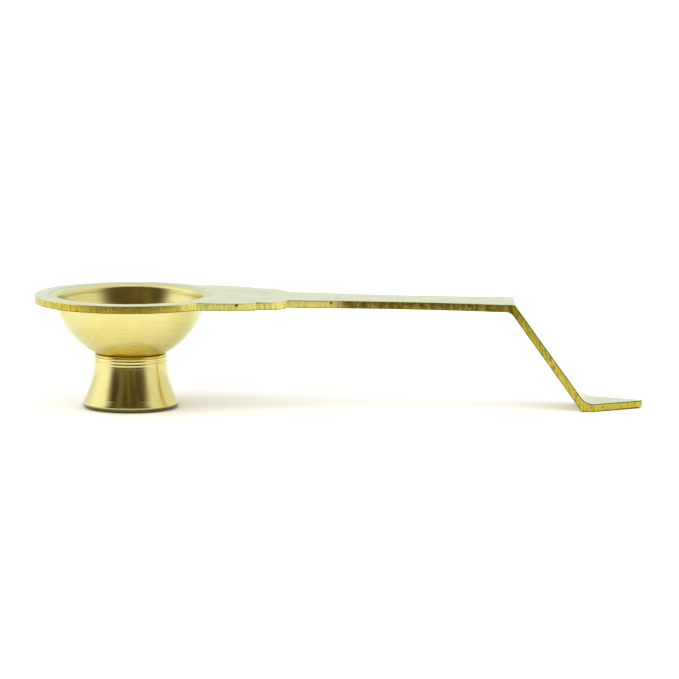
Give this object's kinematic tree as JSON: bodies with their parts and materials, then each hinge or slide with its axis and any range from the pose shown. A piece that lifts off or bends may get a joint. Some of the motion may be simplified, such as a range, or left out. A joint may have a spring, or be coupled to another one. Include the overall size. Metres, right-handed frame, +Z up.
{
  "type": "hand-held arti lamp",
  "caption": "Polished brass hand-held oil or camphor lamp: a round bowl set in the ringed end of a flat strap handle, with a flared hollow foot and a bent-down foot tab.",
  "frame": {"origin": "on the bowl's axis, in the plane of the surface that the lamp stands on", "axes": "+Z up along the bowl's axis, +X from the bowl along the handle to the foot tab, +Y to the left of the handle"},
  "size_m": [0.19, 0.06, 0.0357],
  "materials": {
    "plate_brass": "polished faces, satin sheared edges",
    "bowl_brass": "polished outside, turned inside",
    "pedestal_brass": "turned and polished",
    "rivet_brass": "hammered"
  },
  "bodies": {
    "root": {"handle_plate": "plate_brass", "bowl": "bowl_brass", "pedestal": "pedestal_brass", "rivet": "rivet_brass"}
  },
  "joints": []
}
